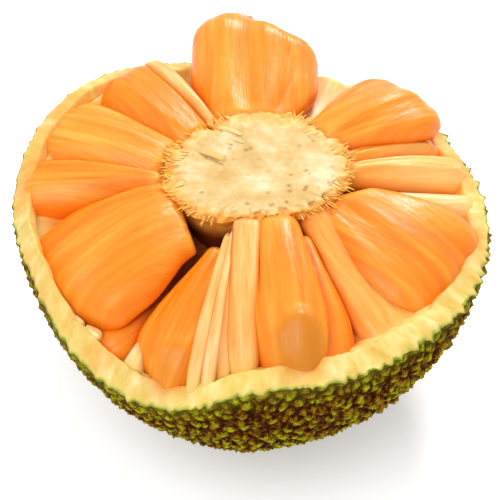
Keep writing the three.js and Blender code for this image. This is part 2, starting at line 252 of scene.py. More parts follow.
def ripple(x, y, seed):
    """Smooth noise from -1 to 1 over a plane, one bump each unit."""
    x = np.asarray(x, float) + 17.3 * seed
    y = np.asarray(y, float) + 41.7 * seed
    column, row = np.floor(x).astype(int), np.floor(y).astype(int)
    u, v = smooth(x - column), smooth(y - row)
    rows, columns = LATTICE.shape

    def at(i, j):
        return LATTICE[(row + j) % rows, (column + i) % columns]

    return mix(mix(at(0, 0), at(1, 0), u), mix(at(0, 1), at(1, 1), u), v)


# Shape of the fruit

def skin_point(angle, up, inset=0.0):
    """The skin at an angle round the fruit and an angle up from the bottom, drawn in by a depth."""
    radius = SKIN_RADIUS * around(GIRTH_SHARE, angle) - inset
    girth = around(GIRTH_HEIGHT, angle)
    below = up < math.pi / 2
    depth = np.where(below, girth - BOTTOM, SHOULDER_RISE) - inset
    out = radius * np.sin(up) ** np.where(below, BELLY_TAPER, 1.0)
    height = girth - depth * np.cos(up)
    return np.stack([out * np.cos(angle), out * np.sin(angle), height], -1)


def cut_height(angle, radius):
    """Height of the cut at an angle round the fruit and a distance out."""
    return around(CUT_HEIGHT, angle) + CUT_SLOPE * (SKIN_RADIUS - radius)


def rim_roll(angle):
    """How far the outer edge of the cut rolls down."""
    return np.maximum(0, around(RIM_ROLL, angle))


def wall_thickness(angle, share):
    """Thickness of the rind under the hollow, from the bottom to the rim."""
    return mix(BASE_THICKNESS, around(RIM_THICKNESS, angle) + WALL_EXTRA, share)


def skin_radius(angle, height):
    """How far out the skin stands at an angle round the fruit and a height."""
    girth = around(GIRTH_HEIGHT, angle)
    below = height < girth
    depth = np.where(below, girth - BOTTOM, SHOULDER_RISE)
    sine = np.sqrt(np.maximum(0, 1 - ((girth - height) / depth) ** 2))
    return SKIN_RADIUS * around(GIRTH_SHARE, angle) * sine ** np.where(below, BELLY_TAPER, 1.0)


def held_inside(points):
    """The same points, but those below the cut are drawn in until they lie inside the skin."""
    angle = np.arctan2(points[:, 1], points[:, 0])
    radius = np.hypot(points[:, 0], points[:, 1])
    limit = np.minimum(radius, skin_radius(angle, points[:, 2]) - SKIN_MARGIN)
    below = smooth((cut_height(angle, radius) + 3 - points[:, 2]) / 5)
    scale = mix(1, limit / np.maximum(radius, 1), below)
    return points * np.stack([scale, scale, np.ones_like(scale)], -1)


def angle_up_to_cut(angle):
    """How far up from the bottom the skin meets the cut, by halving."""
    low = np.full_like(angle, math.radians(60))
    high = np.full_like(angle, math.radians(150))
    for _ in range(40):
        middle = (low + high) / 2
        point = skin_point(angle, middle)
        cut = cut_height(angle, np.hypot(point[..., 0], point[..., 1])) - rim_roll(angle)
        above = point[..., 2] > cut
        high = np.where(above, middle, high)
        low = np.where(above, low, middle)
    return low


# Mesh helpers

def grid_faces(rows, columns):
    """Faces of a closed skin: one first point, rows of points that go round, and one last point."""
    k = np.arange(columns)
    after = (k + 1) % columns
    low = 1 + columns * np.arange(rows - 1)[:, None]
    high = low + columns
    quads = np.stack([low + k, low + after, high + after, high + k], -1).reshape(-1, 4)
    top = 1 + (rows - 1) * columns
    last = np.full_like(k, 1 + rows * columns)
    fans = [np.stack([np.zeros_like(k), 1 + after, 1 + k], -1), np.stack([top + k, top + after, last], -1)]
    return quads.tolist() + fans[0].tolist() + fans[1].tolist()


def closed_skin(first, rows, last):
    """Points and faces of a closed skin over rows of points, from its two end points."""
    points = np.concatenate([[first], rows.reshape(-1, 3), [last]])
    return points, grid_faces(rows.shape[0], rows.shape[1])


def spread(first, rows, last):
    """The values of a closed skin's points, in the same order."""
    rows = np.asarray(rows, float)
    width = rows.shape[2:]
    ends = [np.broadcast_to(np.asarray(v, float), width)[None] for v in (first, last)]
    return np.concatenate([ends[0], rows.reshape((-1,) + width), ends[1]])


def make_piece(name, shape, materials, replaces=None):
    """A smooth mesh of a shape in millimetres that carries named values for its materials."""
    mesh = bpy.data.meshes.new(name)
    mesh.from_pydata((shape["points"] * MM).tolist(), [], shape["faces"])
    for key, data in shape["values"].items():
        data = np.asarray(data, np.float32)
        if data.ndim == 2:
            mesh.attributes.new(key, "FLOAT_VECTOR", "POINT").data.foreach_set("vector", data.ravel())
        else:
            mesh.attributes.new(key, "FLOAT", "POINT").data.foreach_set("value", data)
    mesh.polygons.foreach_set("use_smooth", [True] * len(mesh.polygons))
    for material in materials:
        mesh.materials.append(material)
    mesh.update()
    piece = bpy.data.objects.new(name, mesh)
    bpy.context.scene.collection.objects.link(piece)
    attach(piece, BODY)
    if replaces:
        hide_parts(replaces)
    return piece


# Bulbs and strands

def end_point(end):
    """A place from its degrees round, distance out and height."""
    degrees, radius, top = end
    turned = math.radians(degrees)
    return np.array([radius * math.cos(turned), radius * math.sin(turned), top])


def unit(vector):
    return vector / np.linalg.norm(vector)


def turned_about(vector, axis, degrees):
    angle = math.radians(degrees)
    return vector * math.cos(angle) + np.cross(axis, vector) * math.sin(angle)


def flesh_relief(across, along, order, strength):
    """Fine lengthwise fibres and flutes, in millimetres, where across and along are millimetres too."""
    flutes = 0.5 * ripple(across / 5.5, along / 60, order)
    fibres = 0.16 * ripple(across / 1.7, along / 26, order + 3)
    wrinkles = 0.07 * ripple(across / 1.1, along / 4.5, order + 7)
    return strength * (flutes + fibres + wrinkles)


def bulb_shape(row, order, columns, rows):
    """Points and values of one bulb or strand: a section swept from the core to the rind."""
    piece = {**PIECE_DEFAULTS, **row}
    inner, outer = end_point(piece["inner"]), end_point(piece["outer"])
    length = np.linalg.norm(outer - inner)
    forward = unit(outer - inner)
    level = unit(np.cross(forward, [0, 0, 1]))
    side = turned_about(level, forward, piece["roll"])
    upward = np.cross(side, forward)

    # Size of the section along the bulb: rounded at the core, blunter at the rind
    share = (0.5 - 0.5 * np.cos(np.arange(1, rows + 1) / (rows + 1) * math.pi))[:, None]
    turn = (-TURN * np.arange(columns) / columns)[None, :]
    inner_end = np.minimum(1, share / 0.09)
    outer_end = np.maximum(0, (share - piece["blunt"]) / (1 - piece["blunt"]))
    ends = np.sqrt(1 - (1 - inner_end) ** 2.4) * (1 - outer_end ** piece["tip"]) ** (1 / 2.3)
    fullness = 0.7 + 0.3 * smooth(share / 0.6)
    wide = piece["width"] * mix(piece["neck"], 1, smooth(share / piece["swell"])) * ends
    deep = piece["thick"] * fullness * ends

    # The section: across and up from its middle, narrower below, with its folds, trough, seed and creases
    c, s = np.cos(turn), np.sin(turn)
    across01 = np.sign(c) * np.abs(c) ** piece["square"]
    height01 = np.sign(s) * np.abs(s) ** piece["square"]
    wedge = np.where(s < 0, 1 + 0.35 * height01, 1.0)
    fold = piece["folds"] * np.cos(across01 * 7.5 + piece["arch"]) * np.maximum(0, s) * smooth(share / 0.2)
    x = across01 * wedge * wide
    z = height01 * deep + fold
    lean = mix(piece["skew_in"], piece["skew_out"], share) * across01
    z = z - piece["trough"] * (1 - across01 ** 2) * np.maximum(0, s) * smooth(share / 0.3)
    bulge = seed_bulge(piece["seed"], x, share * length) * np.maximum(0, s)
    z = z + SEED_SWELL * bulge
    calm = np.minimum(1, piece["width"] / 14)
    cuts = pleats(across01, share, order, piece["width"]) * np.maximum(0, s) ** 0.5
    relief = flesh_relief(x, share * length, order, calm) * ends - cuts
    x = x + relief * across01
    z = z + relief * height01

    bend = 4 * share * (1 - share) * piece["arch"]
    rise = bend - piece["thick"] * fullness
    centre = inner + forward * (share * length)[..., None] + upward * rise[..., None]
    points = centre + side * x[..., None] + upward * z[..., None] + forward * lean[..., None]
    first = inner - upward * piece["thick"] * 0.7
    last = outer - upward * piece["thick"]
    layer = np.full(x.shape, GRAIN_LAYER * order)
    grain = np.stack([x + 0 * share, share * length + 0 * x, layer], -1) * GRAIN_SCALE
    verts, faces = closed_skin(first, points, last)
    verts = held_inside(verts)
    values = {
        "grain": spread(grain[0, 0], grain, grain[-1, 0]),
        "share": spread(0, share + 0 * x, 1),
        "pale": np.full(len(verts), piece["pale"]),
        # Depth of the pleats, also used for the painted shade in them
        "pleat": spread(0, cuts, 0),
        # 1 on top of the section to 2 underneath, for the painted shade on the lower flanks
        "flank_shade": spread(1, 1 - s + 0 * x, 1),
        "seed": spread(0, bulge + 0 * x, 0),
    }
    return {"name": row["name"], "points": verts, "faces": faces, "values": values}


def pleats(across01, share, order, width):
    """Narrow lengthwise creases, in millimetres deep, that each fade out along the bulb."""
    draw = np.random.default_rng(SEEDS["pleats"] + order)
    total = np.zeros(np.broadcast(across01, share).shape)
    for _ in range(int(2 + width / 9)):
        place, drift, centre, reach = draw.uniform((-0.85, -0.25, 0.1, 0.22), (0.85, 0.25, 1.0, 0.5))
        depth, breadth = draw.uniform(0.35, 1.0), draw.uniform(0.5, 1.3)
        off = (across01 - place - drift * (share - 0.5)) * width
        total += depth * np.exp(-((off / breadth) ** 2) - ((share - centre) / reach) ** 2)
    return total * min(1, width / 14)


def seed_bulge(seed, across, along):
    """How much a seed shows through a bulb, from its strength and its middle across and along the bulb."""
    strength, middle, place = seed
    near = np.hypot((across - middle) / SEED_SIZE[0], (along - place) / SEED_SIZE[1])
    return strength * smooth((1.3 - near) / 0.65)


def tree_and_box(shape):
    """A search tree of a piece's surface, and two corners of a box a little larger than the piece."""
    points = shape["points"]
    tree = BVHTree.FromPolygons(points.tolist(), shape["faces"])
    return tree, points.min(0) - BOX_MARGIN, points.max(0) + BOX_MARGIN


def nearness(points, solids):
    """Distance from each point to the earlier pieces, and 0 where it lies inside one."""
    near = np.full(len(points), FAR)
    for tree, low, high in solids:
        for index in np.where(np.all((points > low) & (points < high), axis=1))[0]:
            place = Vector(points[index])
            hit, normal, _, distance = tree.find_nearest(place)
            inside = (place - hit).dot(normal) < 0
            near[index] = min(near[index], 0.0 if inside else distance)
    return near


def creased_together(shapes, solids):
    """Marks where each piece lies against the ones before it, for the painted contact shade there."""
    for shape in shapes:
        shape["values"]["contact_shade"] = np.exp(-nearness(shape["points"], solids) / CONTACT_SHADE_REACH)
        solids.append(tree_and_box(shape))


# Core

def core_lobe(angle):
    """Height of the lobe at the back of the core."""
    turned = np.mod(np.degrees(angle) - LOBE["middle"] + 180, 360) - 180
    return LOBE["height"] * np.exp(-((turned / LOBE["spread"]) ** 2))


CORE_LEVELS = [
    # share of the outline, share of the disc in it, height, share of the lobe at the back
    (0.5, 0, CORE_FOOT, 0), (0.62, 0, 62, 0), (0.8, 0, 90, 0), (0.94, 0, 106, 0), (0.96, 0, 114, 0),
    (1.05, 0, CORE_TOP - 4.5, 0.8), (1.05, 0.45, CORE_TOP - 1.8, 1), (1, 1, CORE_TOP, 0.3),
    (0.4, 1, CORE_TOP - 0.8, 0), (0.03, 1, CORE_TOP - DISC_SINK, 0),
]
# Where the collar ends and the disc starts, in steps from one level to the next
DISC_START = 7.2
FOLD_LINE = ((30.0, 23.0), (45.0, -5.0))


def beyond_fold(x, y):
    """Distance past the fold across the right part of the core, in millimetres."""
    (x0, y0), (x1, y1) = FOLD_LINE
    length = math.hypot(x1 - x0, y1 - y0)
    return ((y1 - y0) * (x0 - x) + (x1 - x0) * (y - y0)) / length


def core_shape(columns, rows):
    """The core as one closed skin, from its foot to the middle of its disc."""
    levels = np.array(CORE_LEVELS, float)
    order = np.arange(len(levels))
    steps = np.interp(np.linspace(0, 1, rows), [0, 0.25, 0.75, 1], [0, 4, DISC_START, len(levels) - 1])
    share, disc, height, lobe = (np.interp(steps, order, column)[:, None] for column in levels.T)
    angle = (TURN * np.arange(columns) / columns)[None, :]
    outline = mix(around(CORE_COLLAR, angle), around(CORE_DISC, angle), disc)
    torn = ripple(angle * 9, steps[:, None] * 0.9, 2) + 0.6 * ripple(angle * 23, steps[:, None] * 1.6, 4)
    collar = smooth((steps[:, None] - 3.5) / 1.2) * (1 - smooth((steps[:, None] - 7) / 0.5))
    radius = outline * share + 2.2 * torn * collar
    x = CORE_CENTRE[0] + radius * np.cos(angle)
    y = CORE_CENTRE[1] + radius * np.sin(angle)
    flat = smooth((steps[:, None] - 6.6) / 0.6)
    pores = 0.5 * ripple(x / 9, y / 7, 6) + 0.15 * ripple(x / 1.6, y / 1.6, 8)
    past = beyond_fold(x, y)
    fold = 0.9 * np.exp(-(past ** 2)) + 1.6 * smooth(past / 5)
    z = height + lobe * core_lobe(angle) + 0.9 * torn * collar + (pores - fold) * flat
    points = np.stack([x, y, z], -1)
    first = np.array([*CORE_CENTRE, CORE_FOOT])
    last = np.array([*CORE_CENTRE, CORE_TOP - DISC_SINK])
    verts, faces = closed_skin(first, points, last)
    values = {
        "grain": spread((0, 0, 0), points * GRAIN_SCALE, (0, 0, 12)),
        "disc": spread(0, flat + 0 * x, 1),
        "ring": spread(1, (DISC_START - steps[:, None]) / 2.2 + 0 * x, 0),
        # 1 below 104 mm, falling to 0 at 117 mm, for the painted shade on the core's side
        "low": spread(1, 1 - smooth((z - 104) / 13), 0),
    }
    return {"points": verts, "faces": faces, "values": values}


def torn_strip(start, end, width, thin, curl, lean):
    """A closed strip of torn flesh between two places, arched up by its curl and twisted by its lean."""
    columns, rows = STRIP_GRID
    share = (np.arange(1, rows + 1) / (rows + 1))[:, None]
    turn = (TURN * np.arange(columns) / columns)[None, :]
    taper = np.sin(np.pi * share) ** 0.45 * (1 - 0.5 * share)
    across = width * taper * np.cos(turn)
    upward = thin * taper * np.sin(turn)
    twist = lean * share
    sideways = across * np.cos(twist) - upward * np.sin(twist)
    lifted = across * np.sin(twist) + upward * np.cos(twist) + curl * np.sin(np.pi * share)
    beside = unit(np.array([start[1] - end[1], end[0] - start[0], 0]))
    lane = start + (end - start) * share[..., None] + beside * sideways[..., None]
    lane = lane + np.array([0, 0, 1]) * lifted[..., None]
    verts, faces = closed_skin(lane[0].mean(0), lane, lane[-1].mean(0))
    return verts, faces, spread(0, share + 0 * across, 1)


def fibre_ends(draw, angle, fringe):
    """Both ends of a fibre that lies across the collar, or of a thread of the fringe round it."""
    disc, collar = around(CORE_DISC, angle), around(CORE_COLLAR, angle)
    back = math.exp(-((math.degrees(angle) - LOBE["middle"]) / FRINGE_SPREAD) ** 2)
    if fringe:
        start, reach = collar - draw.uniform(0, 5), draw.uniform(4, 9)
        low, high = CORE_TOP - 3.2 + 4 * back, CORE_TOP - 3.2 + 3.6 * back + draw.uniform(-2.5, 2.5)
    else:
        start = disc + draw.uniform(-2, 2)
        reach = collar - start + draw.uniform(-2, 3)
        low, high = CORE_TOP - 0.8 + 1.5 * back, CORE_TOP - 3.4 + 4 * back + draw.uniform(-0.5, 1)
    heading = angle + draw.normal(0, 0.35 if fringe else 0.2)
    x = CORE_CENTRE[0] + start * math.cos(angle)
    y = CORE_CENTRE[1] + start * math.sin(angle)
    ahead = np.array([reach * math.cos(heading), reach * math.sin(heading), high - low])
    return np.array([x, y, low]), np.array([x, y, low]) + ahead


def frill_shape():
    """The ring of torn fibres and flaps round the core's disc, as one mesh."""
    draw = np.random.default_rng(SEEDS["frill"])
    points, faces, shares, tones = [], [], [], []

    def add(strip, low_share, high_share):
        verts, strip_faces, share = strip
        total = sum(len(each) for each in points)
        faces.extend([total + index for index in face] for face in strip_faces)
        points.append(verts)
        shares.append(mix(low_share, high_share, share))
        tones.append(np.full(len(verts), draw.uniform(0, 1)))

    for index in range(FRILL_FIBRES):
        angle = TURN * (index + draw.uniform(-0.4, 0.4)) / FRILL_FIBRES
        if abs(math.degrees(angle) - FRILL_GAP["middle"]) < FRILL_GAP["half"]:
            continue
        fringe = index % 5 > 0
        start, end = fibre_ends(draw, angle, fringe)
        width = draw.uniform(0.3, 0.7) if fringe else draw.uniform(0.5, 1.5)
        curl = draw.uniform(0, 1) ** 2 * (1.2 if fringe else 0.7)
        strip = torn_strip(start, end, width, 0.25, curl, draw.uniform(-0.25, 0.25))
        add(strip, *((0.6, 1) if fringe else (0.15, 0.8)))
    for inner, outer, width, curl in TORN_FLAPS:
        add(torn_strip(end_point(inner), end_point(outer), width, 0.5, curl, 0.35), 0.15, 0)
    points = np.concatenate(points)
    values = {"grain": points * GRAIN_SCALE, "share": np.concatenate(shares), "tone": np.concatenate(tones)}
    return {"points": points, "faces": faces, "values": values}


# Rind

def search_tree(places):
    tree = KDTree(len(places))
    for index, place in enumerate(places):
        tree.insert(place, index)
    tree.balance()
    return tree


def spike_directions():
    """An even spiral over the sphere, each spike strayed a little, and a tone for each."""
    draw = np.random.default_rng(SEEDS["spikes"])
    k = np.arange(SPHERE_SPIKES)
    down = 1 - 2 * (k + 0.5) / SPHERE_SPIKES
    ring = np.sqrt(1 - down ** 2)
    golden = math.pi * (3 - math.sqrt(5))
    spikes = np.stack([ring * np.cos(golden * k), ring * np.sin(golden * k), -down], -1)
    spacing = math.sqrt(2 * TURN / SPHERE_SPIKES)
    spikes += draw.uniform(-1, 1, spikes.shape) * SPIKE_JITTER * spacing
    return spikes / np.linalg.norm(spikes, axis=1)[:, None], draw.uniform(0, 1, SPHERE_SPIKES)


def spike_field(angle, up):
    """Height share of the spikes, from 0 in the valleys to 1 at the tips, and each spike's own tone."""
    spikes, tones = spike_directions()
    tree = search_tree(spikes)
    directions = np.stack([np.sin(up) * np.cos(angle), np.sin(up) * np.sin(angle), -np.cos(up)], -1)
    flat = directions.reshape(-1, 3)
    height, tone = np.zeros(len(flat)), np.zeros(len(flat))
    for index, direction in enumerate(flat):
        nearest, second = tree.find_n(direction, 2)
        height[index] = 1 - 2 * nearest[2] / (nearest[2] + second[2])
        tone[index] = tones[nearest[1]]
    return height.reshape(angle.shape), tone.reshape(angle.shape)


def outer_skin(theta):
    """Rows of the spiked skin up to the cut, with spike heights, spike tones and nearness to the cut."""
    share = (np.arange(1, SKIN_ROWS + 1) / SKIN_ROWS)[:, None] ** 0.8
    angle = np.broadcast_to(theta, (SKIN_ROWS, SKIN_COLUMNS))
    up = share * angle_up_to_cut(theta)
    height, tone = spike_field(angle, up)
    base = skin_point(angle, up)
    girth = around(GIRTH_HEIGHT, angle)
    normal = base - np.stack([0 * girth, 0 * girth, girth], -1)
    normal = normal / [SKIN_RADIUS ** 2, SKIN_RADIUS ** 2, SKIN_RADIUS * SPIKE_LEAN]
    normal /= np.linalg.norm(normal, axis=-1, keepdims=True)
    raised = around(SPIKE_HEIGHT, angle) * (0.6 + 0.8 * tone) * np.maximum(0, height) ** 1.1
    raised += 0.25 * ripple(angle * 60, up * 60, 1)
    skin = base + normal * raised[..., None]
    skin[..., 2] = np.maximum(skin[..., 2], 0)
    below_edge = skin[..., 2] - skin[-1, :, 2]
    near_edge = np.exp(below_edge / EDGE_TINT_REACH) * (0.4 + 0.6 * np.maximum(0, height))
    return skin, height, tone, near_edge


def cut_face(theta, edge):
    """Rows of the cut face, from the skin's scalloped edge to the hollow, and how far in each row lies."""
    edge_radius = np.hypot(edge[:, 0], edge[:, 1])
    wall_radius = SKIN_RADIUS * around(GIRTH_SHARE, theta) - around(RIM_THICKNESS, theta)
    wall_radius -= around(RIM_LIP, theta)
    wall_radius += 0.9 * ripple(theta * 14, 0 * theta, 21)
    share = (np.arange(RIM_ROWS) / (RIM_ROWS - 1))[:, None]
    radius = mix(edge_radius, wall_radius, share)
    arc = theta * SKIN_RADIUS
    fibres = 0.6 * ripple(arc / 6.5, radius / 16, 3) + 0.15 * ripple(arc / 2.4, radius / 6, 5)
    swells = 1.3 * ripple(arc / 15, radius / 12, 9)
    round_over = RIM_CROWN * np.sin(np.pi * share) ** 0.8 - RIM_FALL * smooth((share - 0.68) / 0.32) ** 1.6
    lift = (fibres + swells) * smooth(share / 0.2) + round_over - rim_roll(theta) * (1 - share) ** 1.5
    face = np.stack([radius * np.cos(theta), radius * np.sin(theta), cut_height(theta, radius) + lift], -1)
    return face, np.broadcast_to(share, radius.shape)


def rind_shape():
    """The rind as one closed skin: its spiked side, its cut face, and its hollow side down to the bottom."""
    theta = TURN * np.arange(SKIN_COLUMNS) / SKIN_COLUMNS
    skin, height, tone, near_edge = outer_skin(theta)
    face, across = cut_face(theta, skin[-1])
    down = np.linspace(1, 0.04, HOLLOW_ROWS + 1)[1:, None]
    hollow_angle = np.broadcast_to(theta, (HOLLOW_ROWS, SKIN_COLUMNS))
    hollow = skin_point(hollow_angle, down * math.pi / 2, wall_thickness(theta, down))
    rows = np.concatenate([skin, face, hollow])
    last = np.array([0, 0, BOTTOM + BASE_THICKNESS])
    verts, faces = closed_skin(np.zeros(3), rows, last)

    cut, bowl = np.ones(across.shape), np.ones(hollow_angle.shape)
    distance = np.hypot(rows[..., 0], rows[..., 1])
    arc = np.broadcast_to(theta * SKIN_RADIUS, distance.shape)
    grain = np.stack([arc, distance, rows[..., 2]], -1)
    values = {
        "grain": spread((0, 0, 0), grain * GRAIN_SCALE, (0, 0, 1)),
        "spike": spread(0, np.concatenate([height, height[-1] * cut, 0 * bowl]), 0),
        "tone": spread(0.5, np.concatenate([tone, tone[-1] * cut, 0 * bowl]), 0),
        "rim": spread(0, np.concatenate([0 * height, across, bowl]), 1),
        "edge": spread(0, np.concatenate([near_edge, cut, bowl]), 1),
    }
    return {"points": verts, "faces": faces, "values": values}


def rind_materials(count):
    """Material of each face: 0 for skin, in the spiked rows and the fan at the bottom, and 1 for pith."""
    pith = np.ones(count, np.int32)
    pith[:(SKIN_ROWS - 1) * SKIN_COLUMNS] = 0
    pith[-2 * SKIN_COLUMNS:-SKIN_COLUMNS] = 0
    return pith


# Rag bed

def bed_height(angle, radius):
    """Height of the bed's top, rising from beside the core to the rim."""
    beside = CORE_TOP - BED_SUNK["core"]
    rim = around(CUT_HEIGHT, angle) - BED_SUNK["rim"]
    return mix(beside, rim, np.minimum(1, radius / BED_SUNK["reach"]) ** 1.5)


def bed_shape(columns, rows):
    """The bed as one closed skin: its underside, and its fibrous top from the rim to the core."""
    theta = TURN * np.arange(columns) / columns
    wall = SKIN_RADIUS * around(GIRTH_SHARE, theta) - around(RIM_THICKNESS, theta) - BED_GAP
    share = np.linspace(1, 0.02, rows)[:, None]
    radius = share * wall
    fibres = 1.1 * ripple(theta * 22, radius / 18, 12) + 0.7 * ripple(theta * 55, radius / 9, 14)
    level = cut_height(theta, wall) - BED_LIP - BED_DIP * (COMMON_LIP - around(RIM_LIP, theta))
    top = mix(bed_height(theta, radius) + fibres, level + 0.4 * fibres, smooth((share - 0.88) / 0.1))
    up = np.linspace(0.1, 1, HOLLOW_ROWS)[:, None]
    under_angle = np.broadcast_to(theta, (HOLLOW_ROWS, columns))
    under = skin_point(under_angle, up * math.pi / 2, wall_thickness(theta, up) + BED_GAP)
    surface = np.stack([radius * np.cos(theta), radius * np.sin(theta), top], -1)
    points = np.concatenate([under, surface])
    first = np.array([0, 0, BOTTOM + BASE_THICKNESS + BED_GAP])
    last = np.array([0, 0, CORE_TOP - BED_SUNK["core"]])
    verts, faces = closed_skin(first, points, last)
    arc = np.broadcast_to(theta * BED_ARC_RADIUS, points.shape[:2])
    grain = np.stack([arc, np.hypot(points[..., 0], points[..., 1]), points[..., 2]], -1)
    out = np.concatenate([np.ones(under_angle.shape), share + 0 * radius])
    values = {"grain": spread((0, 0, 0), grain * GRAIN_SCALE, (0, 0, 9)), "out": spread(0, out, 0)}
    return {"points": verts, "faces": faces, "values": values}


def sink_below(shape, solids):
    """Lowers the points that lie deep inside the other pieces to below them."""
    points = shape["points"]
    for tree, low, high in solids:
        inside_box = np.where(np.all((points > low) & (points < high), axis=1))[0]
        for index in inside_box:
            place = Vector(points[index])
            hit, normal, _, _ = tree.find_nearest(place)
            if (place - hit).dot(normal) < -SINK_DEPTH:
                below, _, _, _ = tree.ray_cast(place, Vector((0, 0, -1)))
                if below is not None:
                    points[index, 2] = max(below.z - BED_CLEARANCE, BED_FLOOR)


def nearness_to(shape, targets, reach):
    """Marks how near each point is to the targets: 1 at their skin, falling off over a reach."""
    tree = search_tree(np.concatenate([target["points"][::3] for target in targets]))
    distance = np.array([tree.find(place)[2] for place in shape["points"]])
    shape["values"]["near"] = np.exp(-distance / reach)


# Materials

# A mix node has sockets of the same names for each kind of value; these are the colours'
MIX_COLOUR_A = 6
MIX_COLOUR_B = 7
MIX_COLOUR_RESULT = 2


def linear(hex_colour):
    """A colour written as red, green and blue in hexadecimal, as a linear colour with alpha."""
    parts = [int(hex_colour[k:k + 2], 16) / 255 for k in (1, 3, 5)]
    return [*(p / 12.92 if p <= 0.04045 else ((p + 0.055) / 1.055) ** 2.4 for p in parts), 1]


class Graph:
    """A short way to write a node material."""

    def __init__(self, name):
        self.material = bpy.data.materials.new(name)
        self.material.use_nodes = True
        self.tree = self.material.node_tree
        self.shader = next(n for n in self.tree.nodes if n.type == "BSDF_PRINCIPLED")

    def link(self, source, socket):
        if isinstance(source, (int, float, list, tuple)):
            socket.default_value = source
        else:
            self.tree.links.new(source, socket)

    def value(self, name):
        node = self.tree.nodes.new("ShaderNodeAttribute")
        node.attribute_name = name
        return node.outputs["Fac"]

    def grain(self, scale):
        """Texture places, stretched by a scale in each direction."""
        node = self.tree.nodes.new("ShaderNodeAttribute")
        node.attribute_name = "grain"
        mapping = self.tree.nodes.new("ShaderNodeMapping")
        mapping.inputs["Scale"].default_value = scale
        self.link(node.outputs["Vector"], mapping.inputs["Vector"])
        return mapping.outputs["Vector"]

    def noise(self, scale, detail=2.0, roughness=0.5):
        node = self.tree.nodes.new("ShaderNodeTexNoise")
        node.inputs["Scale"].default_value = 1
        node.inputs["Detail"].default_value = detail
        node.inputs["Roughness"].default_value = roughness
        self.link(self.grain(scale), node.inputs["Vector"])
        return node.outputs["Fac"]

    def cells(self, scale):
        node = self.tree.nodes.new("ShaderNodeTexVoronoi")
        node.inputs["Scale"].default_value = 1
        self.link(self.grain(scale), node.inputs["Vector"])
        return node.outputs["Distance"]

    def ramp(self, fac, stops):
        node = self.tree.nodes.new("ShaderNodeValToRGB")
        ramp = node.color_ramp
        while len(ramp.elements) < len(stops):
            ramp.elements.new(0.5)
        for element, (place, colour) in zip(ramp.elements, stops):
            element.position = place
            element.color = linear(colour)
        self.link(fac, node.inputs["Fac"])
        return node.outputs["Color"]

    def mix(self, fac, a, b):
        node = self.tree.nodes.new("ShaderNodeMix")
        node.data_type = "RGBA"
        self.link(fac, node.inputs["Factor"])
        self.link(a, node.inputs[MIX_COLOUR_A])
        self.link(b, node.inputs[MIX_COLOUR_B])
        return node.outputs[MIX_COLOUR_RESULT]

    def maths(self, kind, a, b):
        node = self.tree.nodes.new("ShaderNodeMath")
        node.operation = kind
        self.link(a, node.inputs[0])
        self.link(b, node.inputs[1])
        return node.outputs[0]

    def between(self, value, low, high, to_low=0.0, to_high=1.0):
        node = self.tree.nodes.new("ShaderNodeMapRange")
        for name, number in zip(("From Min", "From Max", "To Min", "To Max"), (low, high, to_low, to_high)):
            node.inputs[name].default_value = number
        self.link(value, node.inputs["Value"])
        return node.outputs["Result"]

    def bump(self, height, distance, strength):
        node = self.tree.nodes.new("ShaderNodeBump")
        node.inputs["Distance"].default_value = distance
        node.inputs["Strength"].default_value = strength
        self.link(height, node.inputs["Height"])
        self.link(node.outputs["Normal"], self.shader.inputs["Normal"])

    def finish(self, colour, roughness, **constants):
        self.link(colour, self.shader.inputs["Base Color"])
        self.link(roughness, self.shader.inputs["Roughness"])
        for name, number in constants.items():
            self.shader.inputs[name.replace("_", " ")].default_value = number
        return self.material


def flesh_material():
    """Wet orange flesh with soft patches and faint streaks, and painted shade: deeper orange where it touches
    other pieces, in pleats and on the lower flanks.
    """
    g = Graph("bulb_flesh")
    streaks = g.noise((3.0, 0.22, 1), 3, 0.55)
    broad = g.noise((0.55, 0.14, 1), 2, 0.5)
    deep = g.ramp(streaks, [(0.25, "#f17504"), (0.5, "#f5850a"), (0.75, "#f79518")])
    light = g.ramp(streaks, [(0.25, "#f39020"), (0.5, "#f6a132"), (0.75, "#f8b44c")])
    wanted = g.maths("ADD", g.value("pale"), g.between(broad, 0.38, 0.62, -0.3, 0.4))
    colour = g.mix(g.between(wanted, 0, 1), deep, light)
    colour = g.mix(g.between(wanted, 1, 2), colour, linear("#fcd080"))
    # Painted shade: deeper orange on the sides and underside of each bulb.
    colour = g.mix(g.between(g.value("flank_shade"), 0.45, 1.1, 0, 0.7), colour, linear("#f37404"))
    # Painted shade: deeper orange down in the pleats.
    colour = g.mix(g.between(g.value("pleat"), 0.15, 0.9, 0, 0.6), colour, linear("#ee6c02"))
    # Painted shade: deep orange where a bulb lies against or inside another piece.
    colour = g.mix(g.between(g.value("contact_shade"), 0.2, 1, 0, 0.85), colour, linear("#e05400"))
    base = g.between(g.value("share"), 0.0, 0.16, 0.7, 0)
    colour = g.mix(base, colour, linear("#f9b23c"))
    colour = g.mix(g.between(g.value("seed"), 0.1, 0.9, 0, 0.7), colour, linear("#cc7a0e"))
    wrinkles = g.noise((9, 2.4, 1), 3, 0.6)
    fibres = g.noise((14, 0.7, 1), 2, 0.5)
    g.bump(g.maths("ADD", g.maths("MULTIPLY", wrinkles, 0.7), fibres), 0.0006, 0.55)
    rough = g.between(broad, 0.35, 0.65, 0.46, 0.23)
    return g.finish(colour, rough, Subsurface_Weight=0.2, Subsurface_Radius=(1.0, 0.4, 0.1),
                    Subsurface_Scale=0.003, Specular_IOR_Level=0.45, Coat_Weight=0.1,
                    Coat_Roughness=0.24, IOR=1.4)


